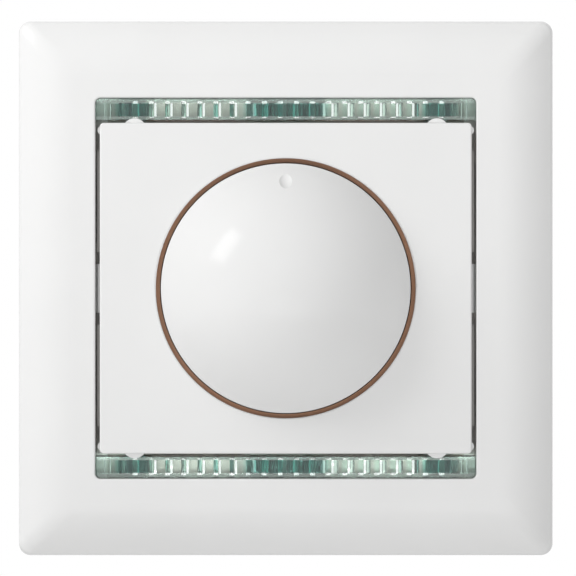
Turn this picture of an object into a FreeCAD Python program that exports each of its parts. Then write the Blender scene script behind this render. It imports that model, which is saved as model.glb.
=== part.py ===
import FreeCAD, Part
import math
import os
from FreeCAD import Vector

os.makedirs("parts", exist_ok=True)

# Millimetres. The wall plane is y = 0, the front faces -Y and +Z is up.

# Fits shared by all pieces
snug = 0.02
running = 0.05
loose = 0.1

# How far a cut runs past the face that it opens
past = 1.0

# Cover frame
frame_width = 81.0
frame_projection = 9.5
frame_wall = 2.2
frame_corner = 1.8
frame_flat = 3.7
frame_drop = 2.85
frame_edge = 1.0
window_width = 57.6
window_corner = 0.8
window_edge = 0.3
collar_wall = 1.5
collar_depth = 3.5
catch_width = 5.0
catch_thickness = 1.2
catch_barb = 0.6
catch_spread = 32.0

# Clear light insert
insert_recess = 0.6
insert_depth = 4.4
bar_height = 3.3
bar_skin = 1.2
rail_depth = 1.5
rib_pitch = 2.44
rib_width = 0.7
rib_count = 20
rib_shift = 0.4
pocket_rim = 0.6
end_pocket = 2.2
foot_size = 1.2

# Centre plate
plate_side_gap = 0.7
plate_bar_gap = 0.4
plate_stand = 0.9
plate_thickness = 1.8
plate_corner = 0.6
plate_edge = 0.25
leg_inset = 5.25
leg_width = 2.9
leg_thickness = 1.3
leg_length = 4.4
leg_barb = 0.5
tab_rise = 0.7
tab_depth = 0.5
nib_width = 1.25
nib_rise = 0.38
nib_inset = 1.1
nib_drop = 1.1
side_leg_height = 7.4
side_leg_thickness = 1.5
side_leg_reach = 0.35
side_leg_drop = 2.4
side_barb_reach = 1.1
side_barb_depth = 1.0

# Knob
knob_radius = 18.85
knob_gap = 0.8
dome_radius = 23.0
knob_rise = 1.0
knob_wall = 2.0
knob_edge = 0.7
hub_radius = 5.0
hub_web = 1.2
mark_offset = 16.1
mark_width = 2.0
mark_length = 3.0
mark_depth = 0.35
push_travel = 2.0
turn_range = 270.0

# Front cover
cover_side_gap = 0.2
cover_inset = 0.2
cover_rim_gap = 0.2
cover_wall = 2.0
well_gap = 0.2
well_wall = 1.5
well_spare = 0.7
well_floor = 1.6
well_clear = 0.8
notch_height = 9.0
notch_clear = 0.8

# Support plate
support_gap = 2.8
support_thickness = 1.2
support_corner = 4.0
support_opening = 15.0
slot_margin = 5.5
slot_radius = 1.8
slot_length = 5.6
tongue_start = 6.0
tongue_length = 14.0
rim_inset = 3.9
rim_drop = 2.0

# Rear housing
housing_width = 38.0
housing_height = 48.0
housing_depth = 26.0
housing_corner = 6.0
housing_wall = 1.6
housing_edge = 1.2
post_side = 5.5
post_end = 4.5
post_radius = 3.2
boss_radius = 2.6
house_screw_radius = 1.5
house_head_radius = 2.7
house_head_height = 1.8
house_screw_spare = 1.0

# Potentiometer, spindle and bush
spindle_radius = 3.0
spindle_flat = 1.0
spindle_tail = 0.5
flat_runout = 0.5
leaf_thickness = 0.4
leaf_width = 2.8
leaf_inset = 0.5
bush_radius = 4.5
bush_flange = 1.2
bush_spare = 1.6
bush_chamfer = 0.5
washer_thickness = 0.6
washer_radius = 7.2
nut_thickness = 2.4
nut_flats = 13.0
case_radius = 8.5
case_depth = 5.3
case_wall = 0.8
track_thickness = 1.0
wiper_thickness = 0.4
wiper_inset = 0.5
wiper_gap_angle = 150.0
rotor_gap = 1.4
lug_gap = 0.3
lug_angle = 24.0
stop_slack = 2.0
clip_radius = 4.0
clip_thickness = 0.5
clip_groove = 0.5
clip_mouth = 2.4

# Push switch
switch_width = 14.0
switch_depth = 7.5
switch_wall = 1.0
switch_corner = 1.0
plunger_radius = 3.3
plunger_flange = 5.2
flange_thickness = 1.0
bridge_thickness = 0.4
spring_wire = 0.5
spring_radius = 2.6
spring_turns = 3.0
contact_width = 1.4

# Circuit board and what it carries
board_thickness = 1.6
board_gap = 0.3
part_gap = 0.3
core_radius = 5.6
core_bore = 3.0
core_height = 6.0
winding = 0.7
winding_gap = 50.0
sink_thickness = 1.2
sink_length = 15.6
sink_depth = 10.6
sink_foot = 3.4
sink_base = -0.5
triac_thickness = 3.2
triac_length = 9.2
triac_width = 9.8
triac_tab = 1.3
triac_tab_length = 6.2
lead_count = 3
lead_width = 0.9
lead_pitch = 2.54
lead_step = 1.8
lead_reach = 2.2
lead_hole = 0.7
film_width = 11.0
film_height = 6.0
film_depth = 10.4
film_side = 8.5
film_corner = 0.6
timer_width = 7.0
timer_height = 2.6
timer_depth = 6.0
timer_side = 6.4
timer_rise = 2.2
timer_chamfer = 0.5
resistor_radius = 1.2
resistor_length = 6.4
resistor_pitch = 3.2
resistor_side = 6.4
diode_radius = 0.95
diode_length = 4.2
diode_gap = 2.0
fuse_radius = 2.6
fuse_length = 20.0
fuse_cap = 5.0
fuse_glass = 0.7
fuse_shift = 2.0
fuse_rise = 5.1
clip_sheet = 0.4

# Terminals
terminal_count = 3
terminal_pitch = 8.2
terminal_shift = 2.2
terminal_width = 6.4
terminal_height = 7.6
terminal_depth = 8.4
terminal_room = 0.3
compartment_wall = 1.2
compartment_top = 9.0
wire_radius = 1.7
wire_depth = 7.0
pin_size = 0.6
clamp_screw_radius = 1.45
clamp_head_radius = 2.2
clamp_head_height = 1.6
clamp_open = 1.0

# Claws
claw_width = 10.0
claw_thickness = 1.2
claw_gap = 0.3
claw_length = 12.0
claw_tooth = 5.1
claw_foot_thickness = 1.4
claw_foot_end = 1.0
claw_tilt = 19.0
nick_count = 3
claw_pin_radius = 0.8
knuckle_wall = 0.8
pivot_depth = 6.0
claw_screw_gap = 0.25
claw_screw_radius = 1.45
claw_screw_length = 12.0
claw_head_radius = 2.2
claw_head_height = 1.8
driver_slot = 0.8

# Widths and places that follow from those sizes
frame_shoulder = (frame_width - window_width) / 2 - frame_flat
plate_width = window_width - 2 * plate_side_gap
plate_height = window_width - 2 * (loose + bar_height + plate_bar_gap)
leg_spread = plate_width - 2 * leg_inset
nib_spread = plate_height - 2 * nib_inset
cover_width = window_width - 2 * cover_side_gap
cover_height = plate_height - 2 * cover_inset
rim_height = cover_height - 2 * rim_inset
notch_reach = (notch_height + cover_wall) / 2
support_width = frame_width - 2 * (frame_wall + support_gap)
slot_spacing = support_width - 2 * slot_margin
post_x = housing_width / 2 - post_side
post_z = housing_height / 2 - post_end
well_radius = knob_radius + well_gap
rotor_radius = case_radius - case_wall - rotor_gap
lug_reach = case_radius - case_wall - lug_gap
knuckle_radius = claw_pin_radius + running + knuckle_wall
pivot_x = housing_width / 2 + claw_gap + knuckle_radius
claw_screw_x = pivot_x + knuckle_radius + claw_screw_radius + claw_screw_gap

# Depths, from the front to the back
frame_face = -frame_projection
collar_back = frame_face + collar_depth
insert_face = frame_face + insert_recess
insert_back = insert_face + insert_depth
plate_face = insert_face - plate_stand
cover_face = plate_face + plate_thickness
support_face = -support_thickness
floor_back = support_face - well_clear
floor_front = floor_back - well_floor
skirt_back = floor_front - well_spare - push_travel
flange_back = floor_back + bush_flange
case_back = flange_back + case_depth
switch_back = case_back + switch_depth
board_front = switch_back
board_back = board_front + board_thickness
bush_front = floor_front - washer_thickness - nut_thickness - bush_spare
hub_back = bush_front - push_travel - well_spare
dome_base = plate_face - knob_rise
dome_angle = math.asin(knob_radius / dome_radius)
dome_centre = dome_base + dome_radius * math.cos(dome_angle)
dome_apex = dome_centre - dome_radius
spindle_front = dome_apex + 1.5 * knob_wall
spindle_back = case_back + spindle_tail

# Places on the circuit board, from the housing's walls and the switch
choke_reach = core_radius + winding + part_gap
choke_x = housing_wall + choke_reach - housing_width / 2
choke_z = housing_height / 2 - housing_wall - choke_reach
film_x = housing_width / 2 - film_side
film_z = -(switch_width / 2 + part_gap + film_height / 2)
timer_x = timer_side - housing_width / 2
resistor_x = resistor_side - housing_width / 2
resistor_z = -(switch_width / 2 + part_gap + resistor_length / 2)
fuse_z = fuse_rise - housing_height / 2
sink_face = housing_width / 2 - housing_wall - loose - sink_thickness
triac_x = sink_face - triac_tab - triac_thickness / 2
triac_y = sink_thickness + loose + triac_width / 2
triac_top = sink_base + triac_length
tab_hole_z = triac_top + triac_tab_length / 2


def block(x0, x1, y0, y1, z0, z1):
    return Part.makeBox(x1 - x0, y1 - y0, z1 - z0, Vector(x0, y0, z0))


def rod_y(radius, y0, y1, x=0.0, z=0.0):
    return Part.makeCylinder(radius, y1 - y0, Vector(x, y0, z), Vector(0, 1, 0))


def rod_x(radius, x0, x1, y, z):
    return Part.makeCylinder(radius, x1 - x0, Vector(x0, y, z), Vector(1, 0, 0))


def rod_z(radius, z0, z1, x, y):
    return Part.makeCylinder(radius, z1 - z0, Vector(x, y, z0), Vector(0, 0, 1))


def outline(width, height, corner, y, x=0.0, z=0.0):
    a = width / 2 - corner
    b = height / 2 - corner
    edges = []
    centres = [(a, b), (-a, b), (-a, -b), (a, -b)]
    for k in range(4):
        cx, cz = centres[k]
        nx, nz = centres[(k + 1) % 4]
        ends = []
        for turn in (0, 45, 90):
            t = math.radians(90 * k + turn)
            ends.append(Vector(x + cx + corner * math.cos(t), y, z + cz + corner * math.sin(t)))
        t = math.radians(90 * k + 90)
        start = Vector(x + nx + corner * math.cos(t), y, z + nz + corner * math.sin(t))
        edges.append(Part.Arc(ends[0], ends[1], ends[2]).toShape())
        edges.append(Part.LineSegment(ends[2], start).toShape())
    return Part.Wire(edges)


def slab(width, height, corner, y0, y1, x=0.0, z=0.0):
    return Part.Face(outline(width, height, corner, y0, x, z)).extrude(Vector(0, y1 - y0, 0))


def sector(radius, y0, y1, middle, spread):
    reach = 2 * radius
    points = [Vector(0, y0, 0)]
    for t in (middle - spread / 2, middle, middle + spread / 2):
        points.append(Vector(reach * math.cos(math.radians(t)), y0, reach * math.sin(math.radians(t))))
    wedge = Part.Face(Part.makePolygon(points + points[:1])).extrude(Vector(0, y1 - y0, 0))
    return wedge.common(rod_y(radius, y0, y1))


def union(shapes):
    body = shapes[0]
    for shape in shapes[1:]:
        body = body.fuse(shape)
    return body.removeSplitter()


def without(body, shapes):
    for shape in shapes:
        body = body.cut(shape)
    return body


def flipped(shape, axis):
    return shape.mirror(Vector(0, 0, 0), axis)


def level_edges(shape, y, keep):
    chosen = []
    for edge in shape.Edges:
        box = edge.BoundBox
        if abs(box.YMin - y) < 1e-4 and abs(box.YMax - y) < 1e-4 and keep(edge.CenterOfMass):
            chosen.append(edge)
    return chosen


def four_ways(shape):
    right = [shape, flipped(shape, Vector(0, 0, 1))]
    return right + [flipped(s, Vector(1, 0, 0)) for s in right]


def save(name, shapes):
    shape = shapes[0] if len(shapes) == 1 else Part.makeCompound(shapes)
    shape.exportStep("parts/" + name + ".step")


# Pillowed square block: flat crown, arched shoulder, straight sides
def pillow(half, rim, crown, shoulder, corner):
    drop = crown - rim
    radius = (shoulder ** 2 + drop ** 2) / (2 * drop)
    start = math.asin(shoulder / radius)
    rings = []
    steps = 6
    for k in range(steps + 1):
        t = start * (1 - k / steps)
        width = 2 * (half - shoulder + radius * math.sin(t))
        rings.append(outline(width, width, corner, -crown + radius * (1 - math.cos(t))))
    crown_part = Part.makeLoft(rings, True, False)
    return crown_part.fuse(slab(2 * half, 2 * half, corner, -rim, 0))


# Cover frame: hollow moulding with a window collar and four spring catches
def make_cover_frame():
    half = frame_width / 2
    rim = frame_projection - frame_drop
    body = pillow(half, rim, frame_projection, frame_shoulder, frame_corner)
    outer = half - frame_shoulder / 2
    rim_edges = level_edges(body, -rim, lambda c: max(abs(c.x), abs(c.z)) > outer)
    body = body.makeFillet(frame_edge, rim_edges)
    inner_corner = frame_corner / 2
    hollow = pillow(half - frame_wall, rim - frame_wall, frame_projection - frame_wall,
                    frame_shoulder, inner_corner)
    collar_width = window_width + 2 * collar_wall
    hollow = hollow.cut(slab(collar_width, collar_width, window_corner, frame_face, collar_back))
    body = body.cut(hollow)
    body = body.cut(slab(window_width, window_width, window_corner, frame_face - past, past))
    reach = (window_width + frame_flat) / 2
    window_edges = level_edges(body, frame_face, lambda c: max(abs(c.x), abs(c.z)) < reach)
    body = body.makeFillet(window_edge, window_edges)
    x0 = collar_width / 2
    low = catch_spread / 2 - catch_width / 2
    high = low + catch_width
    root = frame_face + frame_wall / 2
    arm = block(x0 - catch_thickness / 2, x0, root, collar_back, low, high)
    stem = block(x0, x0 + catch_thickness, root, support_thickness, low, high)
    barb = block(x0, x0 + catch_thickness + catch_barb, 0, support_thickness, low, high)
    save("cover_frame", [union([body] + four_ways(union([arm, stem, barb])))])


# Clear light insert: two ribbed bars joined by a ring behind the window collar
def make_light_insert():
    outer = window_width / 2 - loose
    inner = outer - bar_height
    ring_half = window_width / 2 + collar_wall - loose
    rail_inner = window_width / 2 + loose
    bars = slab(2 * outer, 2 * outer, window_corner, insert_face, insert_back)
    ring = slab(2 * ring_half, 2 * ring_half, window_corner, collar_back, collar_back + rail_depth)
    body = bars.fuse(ring)
    body = body.cut(block(-rail_inner, rail_inner, insert_face - past, insert_back + past, -inner, inner))
    top = []
    low = inner + pocket_rim
    high = outer - pocket_rim
    floor = insert_face + bar_skin
    span = (rib_count - 1) * rib_pitch
    for k in range(rib_count - 1):
        x0 = rib_shift + k * rib_pitch - span / 2 + rib_width / 2
        top.append(block(x0, x0 + rib_pitch - rib_width, floor, insert_back + past, low, high))
    for side in (-1, 1):
        x = rib_shift + side * (span + rib_width + end_pocket) / 2
        top.append(block(x - end_pocket / 2, x + end_pocket / 2, floor, insert_back + past, low, high))
    pockets = Part.makeCompound(top + [flipped(s, Vector(0, 0, 1)) for s in top])
    body = body.cut(pockets)
    foot = block(ring_half - foot_size, ring_half - loose, collar_back + rail_depth / 2, support_face,
                 ring_half - foot_size, ring_half - loose)
    save("light_insert", [union([body] + four_ways(foot))])


# Centre plate: flat moulding with a knob hole, four snap legs and small locating tabs
def make_centre_plate():
    body = slab(plate_width, plate_height, plate_corner, plate_face, cover_face)
    rim = level_edges(body, plate_face, lambda c: True)
    body = body.makeFillet(plate_edge, rim)
    hole = knob_radius + knob_gap
    body = body.cut(rod_y(hole, plate_face - past, cover_face + past))
    hole_edge = level_edges(body, plate_face, lambda c: c.x ** 2 + c.z ** 2 < hole)
    body = body.makeFillet(plate_edge, hole_edge)
    x = leg_spread / 2
    z = cover_height / 2
    foot = cover_face + leg_length
    leg = block(x - leg_width / 2, x + leg_width / 2, cover_face - plate_thickness / 2, foot,
                z - leg_thickness, z)
    barb = block(x - leg_width / 2, x + leg_width / 2, foot - 2 * leg_barb, foot,
                 z - leg_thickness - leg_barb, z)
    tab_radius = (leg_width ** 2 / 4 + tab_rise ** 2) / (2 * tab_rise)
    tab_z = plate_height / 2 + tab_rise - tab_radius
    tab = rod_y(tab_radius, plate_face + tab_depth, insert_face - loose, x, tab_z)
    nib_radius = (nib_width ** 2 / 4 + nib_rise ** 2) / (2 * nib_rise)
    nib = rod_y(nib_radius, plate_face + nib_drop, cover_face - tab_depth / 2,
                plate_width / 2 + nib_rise - nib_radius, nib_spread / 2)
    edge = plate_width / 2
    half = side_leg_height / 2
    barb_front = insert_back + loose
    back = barb_front + side_barb_depth
    inside = edge - side_leg_thickness
    root = block(inside, edge, cover_face - plate_thickness / 2, back, -half, half)
    arm = block(inside, edge + side_leg_reach, plate_face + side_leg_drop, back, -half, half)
    hook = block(inside, edge + side_barb_reach, barb_front, back, -half, half)
    side_leg = union([root, arm, hook])
    fittings = four_ways(union([leg, barb])) + four_ways(tab) + four_ways(nib)
    fittings += [side_leg, flipped(side_leg, Vector(1, 0, 0))]
    save("centre_plate", [union([body] + fittings)])


# Knob: hollow dome with a skirt, a webbed hub bored to a D and a boat-shaped mark
def make_knob():
    def dome_point(t):
        return Vector(dome_radius * math.sin(t), dome_centre - dome_radius * math.cos(t), 0)

    inner = dome_radius - knob_wall
    bore = knob_radius - knob_wall
    arc = Part.Arc(dome_point(0), dome_point(dome_angle / 2), dome_point(dome_angle)).toShape()
    points = [dome_point(dome_angle), Vector(knob_radius, skirt_back, 0), Vector(bore, skirt_back, 0)]
    for share in (1.0, 0.8, 0.5, 0.25):
        r = share * bore
        points.append(Vector(r, dome_centre - math.sqrt(inner ** 2 - r ** 2), 0))
    points.append(Vector(0, dome_apex + knob_wall, 0))
    points.append(dome_point(0))
    sides = [Part.LineSegment(a, b).toShape() for a, b in zip(points[:-1], points[1:])]
    face = Part.Face(Part.Wire([arc] + sides))
    body = face.revolve(Vector(0, 0, 0), Vector(0, 1, 0), 360)
    rim = level_edges(body, dome_base, lambda c: True)
    body = body.makeFillet(knob_edge, rim)
    envelope = Part.makeSphere(dome_radius - knob_wall / 2, Vector(0, dome_centre, 0))
    hub = rod_y(hub_radius, dome_apex, hub_back)
    web_back = dome_base - hub_web
    webs = []
    for k in range(2):
        web = block(-bore, bore, dome_apex, web_back, -hub_web / 2, hub_web / 2)
        webs.append(web.rotate(Vector(0, 0, 0), Vector(0, 1, 0), 90 * k))
    within = envelope.common(rod_y(bore + knob_wall / 2, dome_apex, hub_back))
    body = body.fuse(union([hub] + webs).common(within))
    bore_shape = rod_y(spindle_radius + snug, spindle_front, hub_back + past)
    flat = spindle_radius - spindle_flat + leaf_thickness
    key = block(-hub_radius, hub_radius, spindle_front, hub_back, flat, hub_radius)
    body = body.cut(bore_shape.cut(key))
    belly = (mark_width ** 2 / 4 + mark_depth ** 2) / (2 * mark_depth)
    lift = belly - mark_depth
    chord = mark_length / math.sqrt(1 - lift / belly)
    bow = Part.Arc(Vector(-chord / 2, 0, 0), Vector(0, belly, 0), Vector(chord / 2, 0, 0)).toShape()
    base = Part.LineSegment(Vector(chord / 2, 0, 0), Vector(-chord / 2, 0, 0)).toShape()
    boat = Part.Face(Part.Wire([bow, base])).revolve(Vector(0, 0, 0), Vector(1, 0, 0), 360)
    t = math.asin(mark_offset / dome_radius)
    along = Vector(0, math.sin(t), math.cos(t))
    out = Vector(0, -math.cos(t), math.sin(t))
    seat = Vector(0, dome_centre, 0) + out * (dome_radius + lift)
    boat.Placement = FreeCAD.Placement(seat, FreeCAD.Rotation(Vector(1, 0, 0), along))
    save("knob", [body.cut(boat)])


# Knob leaf: strip of spring steel between the spindle's flat and the hub's flat
def make_knob_leaf():
    flat = spindle_radius - spindle_flat
    half = leaf_width / 2
    front = spindle_front + leaf_inset
    save("knob_leaf", [block(-half, half, front, hub_back, flat, flat + leaf_thickness)])


# Spindle: brass rod with a flat for the knob, a groove for the clip and two flats for the rotor
def make_spindle():
    body = rod_y(spindle_radius, spindle_front, spindle_back)
    flat = spindle_radius - spindle_flat
    big = 2 * spindle_radius
    keyed = flange_back - clip_thickness
    cuts = [block(-big, big, spindle_front - past, hub_back + flat_runout, flat, big)]
    cuts.append(block(-big, big, keyed, spindle_back + past, flat, big))
    cuts.append(block(-big, big, keyed, spindle_back + past, -big, -flat))
    groove = rod_y(big, flange_back, flange_back + clip_thickness)
    core = rod_y(flat - clip_groove, flange_back, flange_back + clip_thickness)
    cuts.append(groove.cut(core))
    save("spindle", [without(body, cuts)])


# Spindle clip: split ring that stops the spindle from being drawn out
def make_spindle_clip():
    inner = spindle_radius - spindle_flat - clip_groove + snug
    front = flange_back - past
    back = flange_back + past
    ring = rod_y(clip_radius, flange_back, flange_back + clip_thickness).cut(rod_y(inner, front, back))
    mouth = block(-clip_mouth / 2, clip_mouth / 2, front, back, -2 * clip_radius, 0)
    save("spindle_clip", [ring.cut(mouth)])


# Bush: flange behind the cover's floor and a barrel through it, bored for the spindle
def make_bush():
    flange = rod_y(case_radius, floor_back, flange_back)
    barrel = rod_y(bush_radius, bush_front, floor_back)
    bore = rod_y(spindle_radius + running, bush_front - past, flange_back + past)
    body = union([flange, barrel]).cut(bore)
    tip = level_edges(body, bush_front, lambda c: True)
    outer = [e for e in tip if e.BoundBox.XLength > spindle_radius + bush_radius]
    save("threaded_bush", [body.makeChamfer(bush_chamfer, outer)])


# Washer and nut that clamp the bush to the floor of the well
def make_bush_washer():
    ring = rod_y(washer_radius, floor_front - washer_thickness, floor_front)
    hole = rod_y(bush_radius + snug, floor_front - washer_thickness - past, floor_front + past)
    save("lock_washer", [ring.cut(hole)])


def make_bush_nut():
    back = floor_front - washer_thickness
    corner = nut_flats / math.sqrt(3)
    points = []
    for k in range(7):
        t = math.radians(60 * k)
        points.append(Vector(corner * math.cos(t), back, corner * math.sin(t)))
    body = Part.Face(Part.makePolygon(points)).extrude(Vector(0, -nut_thickness, 0))
    save("bush_nut", [body.cut(rod_y(bush_radius + snug, back - nut_thickness - past, back + past))])


# Potentiometer case: cup with an inner stop for the rotor's lug
def make_potentiometer_case():
    inner = case_radius - case_wall
    cup = rod_y(case_radius, flange_back, case_back)
    cup = cup.cut(rod_y(inner, flange_back - past, case_back - case_wall))
    cup = cup.cut(rod_y(plunger_radius + loose, flange_back, case_back + past))
    front = flange_back + track_thickness + loose
    free = 360 - turn_range - lug_angle - stop_slack
    stop = sector(case_radius - case_wall / 2, front, case_back - case_wall, -90, free)
    stop = stop.cut(rod_y(rotor_radius + 2 * loose, front - past, case_back))
    save("potentiometer_case", [union([cup, stop])])


# Resistive track: phenolic disc under the bush's flange
def make_resistive_track():
    disc = rod_y(case_radius - case_wall - running, flange_back, flange_back + track_thickness)
    hole = rod_y(clip_radius + 2 * loose, flange_back - past, flange_back + track_thickness + past)
    save("resistive_track", [disc.cut(hole)])


# Wiper rotor: moulded disc with a lug, recessed for the clip and keyed to the spindle
def make_wiper_rotor():
    front = flange_back + track_thickness + wiper_thickness
    back = case_back - case_wall - 3 * loose
    disc = rod_y(rotor_radius, front, back)
    lug = sector(lug_reach, front, back, 90, lug_angle)
    recess = rod_y(clip_radius + loose, front - past, flange_back + clip_thickness + push_travel + loose)
    key = rod_y(spindle_radius + running, front - past, back + past)
    flat = spindle_radius - spindle_flat + running
    key = key.common(block(-case_radius, case_radius, front - past, back + past, -flat, flat))
    save("wiper_rotor", [without(union([disc, lug]), [recess, key])])


# Wiper contact: spring bronze ring with an arm, on the rotor's front face
def make_wiper_contact():
    front = flange_back + track_thickness
    ring = rod_y(rotor_radius - wiper_inset, front, front + wiper_thickness)
    ring = ring.cut(rod_y(clip_radius + 2 * loose, front - past, front + past))
    save("wiper_contact", [ring.cut(sector(case_radius, front - past, front + past, -90, wiper_gap_angle))])


# Push switch case: box with a round chamber for the plunger and its spring
def make_switch_case():
    half = switch_width / 2
    body = block(-half, half, case_back, switch_back, -half, half)
    upright = [e for e in body.Edges if e.BoundBox.YLength > switch_depth / 2]
    body = body.makeFillet(switch_corner, upright)
    chamber = rod_y(plunger_flange + 2 * loose, case_back + switch_wall, switch_back - switch_wall)
    mouth = rod_y(plunger_radius + loose, case_back - past, case_back + switch_wall + past)
    inside = switch_back - 2 * switch_wall
    holes = [rod_y(pin_size / 2 + snug, inside, switch_back + past, x) for x in contact_places()]
    save("switch_case", [without(body, [chamber, mouth] + holes)])


def contact_places():
    return (-plunger_flange + contact_width, plunger_flange - contact_width)


# Fixed switch contacts: two brass pads with pins through the board
def make_switch_contacts():
    pads = []
    seat = switch_back - switch_wall
    for x in contact_places():
        pad = rod_y(contact_width / 2, seat - bridge_thickness, seat, x)
        pads.append(union([pad, rod_y(pin_size / 2, seat, board_back, x)]))
    save("switch_contacts", pads)


# Switch plunger: flanged button with a stem inside the spring
def make_switch_plunger():
    front = case_back + switch_wall
    nose = rod_y(plunger_radius, spindle_back, front)
    flange = rod_y(plunger_flange, front, front + flange_thickness)
    stem = rod_y(spring_radius - spring_wire - loose, front, front + 1.5 * flange_thickness)
    save("switch_plunger", [union([nose, flange, stem])])


# Contact bridge: brass ring carried on the back of the plunger's flange
def make_contact_bridge():
    front = case_back + switch_wall + flange_thickness
    ring = rod_y(plunger_flange - loose, front, front + bridge_thickness)
    hole = rod_y(spring_radius + spring_wire / 2 + loose, front - past, front + past)
    save("contact_bridge", [ring.cut(hole)])


# Return spring: square-wire coil between the plunger and the back of the switch case
def make_return_spring():
    front = case_back + switch_wall + flange_thickness
    back = switch_back - switch_wall
    lead = spring_wire / 2
    rise = back - front - 2 * lead
    helix = Part.makeHelix(rise / spring_turns, rise, spring_radius)
    r = spring_radius
    corners = [Vector(r - lead, 0, -lead), Vector(r + lead, 0, -lead), Vector(r + lead, 0, lead),
               Vector(r - lead, 0, lead), Vector(r - lead, 0, -lead)]
    coil = Part.Wire(helix).makePipeShell([Part.makePolygon(corners)], True, True)
    coil.rotate(Vector(0, 0, 0), Vector(1, 0, 0), -90)
    coil.translate(Vector(0, front + lead, 0))
    save("return_spring", [coil])


# Front cover: brown moulding with the knob's well, screw bosses and snap places for the plate's legs
def make_front_cover():
    half_w = cover_width / 2 - support_thickness - cover_rim_gap
    half_h = cover_height / 2
    body = slab(2 * half_w, cover_height, plate_corner, cover_face, support_face)
    hollow = block(-half_w + cover_wall, half_w - cover_wall, cover_face + cover_wall, support_face,
                   -half_h + cover_wall, half_h - cover_wall)
    keep = [rod_y(well_radius + well_wall, cover_face, floor_back)]
    cuts = [rod_y(well_radius, cover_face - past, floor_front)]
    cuts.append(rod_y(bush_radius + running, floor_front - past, floor_back + past))
    notch_x = claw_screw_x - claw_head_radius - notch_clear
    room = notch_height / 2
    rib = cover_wall / 2
    for side in (-1, 1):
        x = side * post_x
        z = side * post_z
        keep.append(rod_y(boss_radius, cover_face, support_face, x, z))
        cuts.append(rod_y(house_screw_radius + snug, cover_face + cover_wall, support_face + past, x, z))
        x0, x1 = sorted((side * (notch_x - rib), side * cover_width))
        keep.append(block(x0, x1, cover_face, support_face, -notch_reach, notch_reach))
        x0, x1 = sorted((side * notch_x, side * cover_width))
        cuts.append(block(x0, x1, cover_face - past, support_face + past, -room, room))
    body = body.cut(without(hollow, keep))
    x0 = leg_spread / 2 - leg_width / 2 - loose
    x1 = leg_spread / 2 + leg_width / 2 + loose
    inner = half_h - leg_thickness - loose
    catch = cover_face + leg_length - 2 * leg_barb
    slot = block(x0, x1, cover_face - past, support_face + past, inner, half_h + past)
    hook = block(x0, x1, catch, support_face + past, inner - leg_barb, half_h + past)
    save("front_cover", [without(body, cuts + four_ways(union([slot, hook])))])


# Support plate: pressed steel square with slots, ears for the claws, tongues behind the bars
# and a turned-up rim on each side of the front cover
def make_support_plate():
    def hole(radius, x, z=0.0):
        return rod_y(radius, support_face - past, past, x, z)

    def opening(x0, x1, z0, z1):
        return block(x0, x1, support_face - past, past, z0, z1)

    body = slab(support_width, support_width, support_corner, support_face, 0)
    cuts = [hole(support_opening, 0)]
    straight = slot_length / 2 - slot_radius
    z1 = window_width / 2
    z0 = z1 - bar_height
    for side in (-1, 1):
        x = side * slot_spacing / 2
        cuts.append(opening(x - straight, x + straight, -slot_radius, slot_radius))
        cuts.append(hole(slot_radius, x - straight))
        cuts.append(hole(slot_radius, x + straight))
        cuts.append(hole(claw_screw_radius + loose, side * claw_screw_x))
        cuts.append(hole(house_screw_radius + 2 * loose, side * post_x, side * post_z))
    tongue_end = tongue_start + tongue_length
    cuts += four_ways(opening(tongue_start, tongue_end, z0, z1))
    x = window_width / 2 + collar_wall
    low = catch_spread / 2 - catch_width / 2 - loose
    high = low + catch_width + 2 * loose
    cuts += four_ways(opening(x - loose, x + catch_thickness + loose, low, high))
    body = without(body, cuts)
    ear_z = claw_width / 2 + loose
    ear_end = ear_z + support_thickness
    reach = claw_pin_radius + knuckle_wall
    ear = block(pivot_x - reach, pivot_x + reach, support_face / 2, pivot_depth, ear_z, ear_end)
    ear = union([ear, rod_z(reach, ear_z, ear_end, pivot_x, pivot_depth)])
    ear = ear.cut(rod_z(claw_pin_radius + snug, 0, claw_width, pivot_x, pivot_depth))
    front = insert_back + loose
    tongue = block(tongue_start, tongue_end + support_thickness, front, front + support_thickness,
                   z0 + loose, z1 - loose)
    riser = block(tongue_end, tongue_end + support_thickness, front, support_face / 2,
                  z0 + loose, z1 - loose)
    tongue = union([tongue, riser])
    x = cover_width / 2
    rim = block(x - support_thickness, x, cover_face + rim_drop, support_face / 2,
                notch_reach, rim_height / 2)
    save("support_plate", [union([body] + four_ways(ear) + four_ways(tongue) + four_ways(rim))])


def terminal_places():
    return [terminal_shift + terminal_pitch * (k - (terminal_count - 1) / 2) for k in range(terminal_count)]


# Rear housing: moulded box with screw posts and open compartments for the terminals
def make_rear_housing():
    body = slab(housing_width, housing_height, housing_corner, 0, housing_depth)
    body = body.makeFillet(housing_edge, level_edges(body, housing_depth, lambda c: True))
    inner = slab(housing_width - 2 * housing_wall, housing_height - 2 * housing_wall,
                 housing_corner - housing_wall, 0, housing_depth - housing_wall)
    places = terminal_places()
    half = terminal_width / 2 + terminal_room
    bottom = -housing_height / 2
    top = bottom + compartment_top
    seat = board_back + compartment_wall
    left = places[0] - half - compartment_wall
    right = places[-1] + half + compartment_wall
    keep = [block(left, right, board_back, housing_depth, bottom, top + compartment_wall)]
    cuts = []
    for side in (-1, 1):
        x = side * post_x
        z = side * post_z
        keep.append(rod_y(post_radius, board_back, housing_depth, x, z))
        cuts.append(rod_y(house_screw_radius + loose, board_back - past, housing_depth + past, x, z))
    for x in places:
        cuts.append(block(x - half, x + half, seat, housing_depth + past, bottom - past, top))
        cuts.append(rod_y(pin_size + snug, board_back - past, seat + past, x, terminal_middle()))
    save("rear_housing", [without(body.cut(without(inner, keep)), cuts)])


def terminal_middle():
    return -housing_height / 2 + compartment_top - terminal_height / 2


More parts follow.
